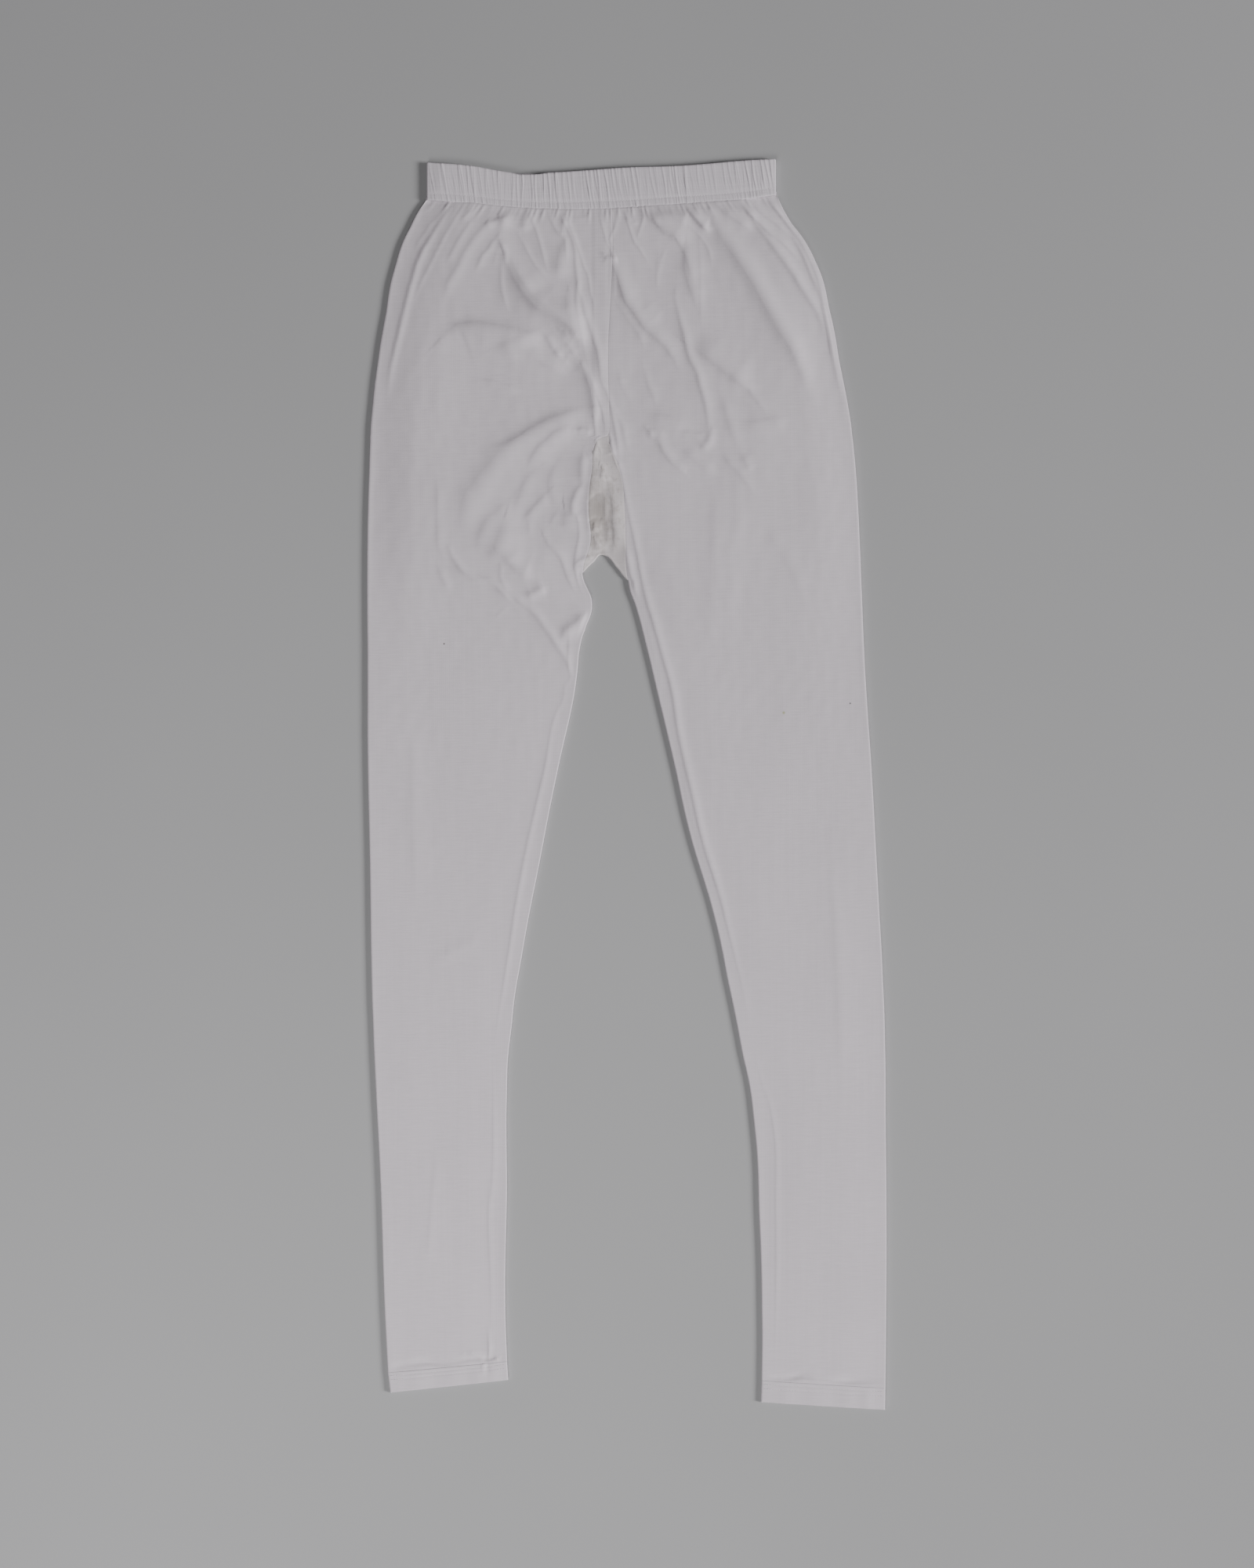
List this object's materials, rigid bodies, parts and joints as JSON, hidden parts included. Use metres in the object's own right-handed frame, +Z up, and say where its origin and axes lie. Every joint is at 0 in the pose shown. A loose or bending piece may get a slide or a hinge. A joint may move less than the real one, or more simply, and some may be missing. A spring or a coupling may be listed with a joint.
{
  "type": "leggings",
  "caption": "White cotton jersey leggings laid flat, with a gathered elastic waistband, a crotch gusset, turned hems and slim legs that narrow to the ankle.",
  "frame": {"origin": "centre of the garment's plan at the surface that it lies on", "axes": "+Z up out of the surface, +Y from the hems towards the waistband, +X towards the wearer's left leg"},
  "size_m": [0.4378, 1.0537, 0.0102],
  "materials": {
    "jersey": "matt fine knit",
    "waistband_jersey": "matt fine knit, gathered over elastic",
    "gusset_jersey": "matt fine knit, a little warmer in tone"
  },
  "bodies": {
    "root": {"waistband": "waistband_jersey", "leg_right": "jersey", "leg_left": "jersey", "hem_right": "jersey", "hem_left": "jersey", "gusset": "gusset_jersey"}
  },
  "joints": []
}
